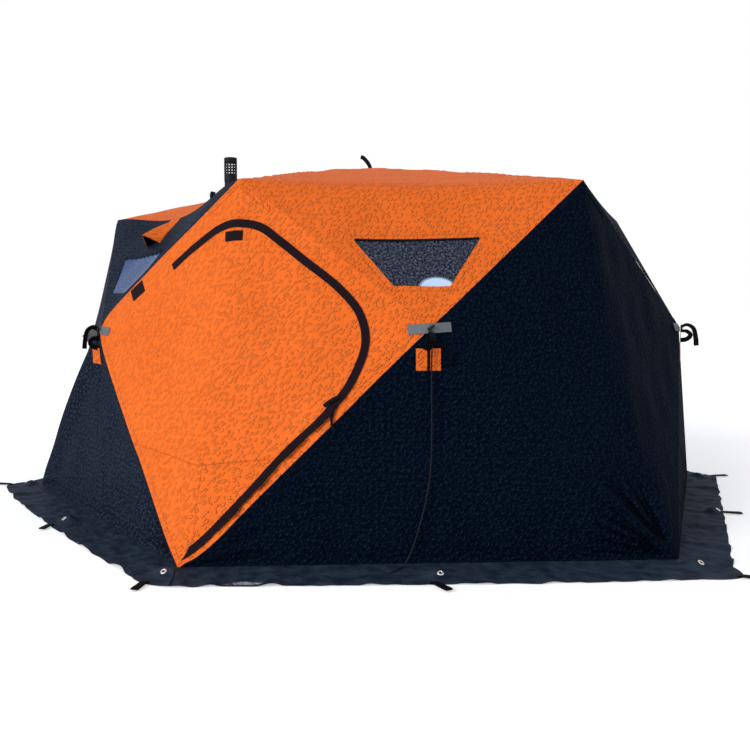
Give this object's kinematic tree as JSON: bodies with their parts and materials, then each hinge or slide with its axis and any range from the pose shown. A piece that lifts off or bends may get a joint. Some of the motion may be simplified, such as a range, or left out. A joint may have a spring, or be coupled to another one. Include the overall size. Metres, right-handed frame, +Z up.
{
  "type": "ice fishing tent",
  "caption": "Pop-up ice fishing tent with quilted hub walls, shallow hub roof, clear windows, fold-back door, snow skirt and stove pipe.",
  "frame": {"origin": "on the ground under the roof hub", "axes": "+X to the right and +Y away from someone who faces the front wall, +Z up"},
  "size_m": [5.069, 4.4104, 2.1335],
  "materials": {
    "orange_quilt": "matte coated polyester, embossed quilting",
    "black_quilt": "matte coated polyester, embossed quilting",
    "skirt_cloth": "plain coated polyester",
    "black_webbing": "woven nylon webbing and mesh",
    "reflective_grey": "grey reflective tape",
    "clear_film": "clear vinyl film",
    "fibreglass": "pultruded fibreglass rod",
    "black_plastic": "moulded nylon",
    "black_steel": "matt black heat-proof paint",
    "eyelet_steel": "plated steel"
  },
  "bodies": {
    "tent": {"roof_canopy": "orange_quilt", "front_upper_panel": "orange_quilt", "front_right_upper_panel": "black_quilt", "back_right_upper_panel": "black_quilt", "back_upper_panel": "orange_quilt", "back_left_upper_panel": "black_quilt", "front_left_upper_panel": "black_quilt", "front_lower_panel": "black_quilt", "front_right_lower_panel": "black_quilt", "back_right_lower_panel": "black_quilt", "back_lower_panel": "black_quilt", "back_left_lower_panel": "black_quilt", "front_left_lower_panel": "black_quilt", "front_right_corner_panel": "black_quilt", "right_corner_panel": "black_quilt", "back_right_corner_panel": "black_quilt", "back_left_corner_panel": "black_quilt", "left_corner_panel": "black_quilt", "doorway_header": "orange_quilt", "doorway_fold_side": "orange_quilt", "doorway_zip_side": "orange_quilt", "wall_tie_patch": "black_webbing", "window_films": "clear_film", "vent_hoods": "orange_quilt", "vent_meshes": "black_webbing", "front_wall_poles": "fibreglass", "front_right_wall_poles": "fibreglass", "back_right_wall_poles": "fibreglass", "back_wall_poles": "fibreglass", "back_left_wall_poles": "fibreglass", "front_left_wall_poles": "fibreglass", "roof_poles": "fibreglass", "wall_hubs": "black_plastic", "roof_hub": "black_plastic", "foot_pockets": "black_plastic", "eave_pockets": "black_plastic", "hub_strips": "reflective_grey", "hub_straps": "black_webbing", "roof_strap": "black_webbing", "rope_tabs": "orange_quilt", "guy_rope": "black_webbing", "snow_skirt": "skirt_cloth", "skirt_corners": "skirt_cloth", "eyelets": "eyelet_steel", "peg_loops": "black_webbing", "stove_pipe": "black_steel", "spark_arrestor": "black_steel", "stove_jack": "black_webbing"},
    "door": {"door": "orange_quilt", "door_storm_flap": "black_webbing", "door_tie_patch": "black_webbing"}
  },
  "joints": [
    {"name": "door_fold", "type": "hinge", "parent": "tent", "child": "door", "pos_m": [-1.06908, -1.8517, 0.07175], "axis": [0.0489, -0.4346, -0.8993], "range_deg": [0, 140]}
  ]
}
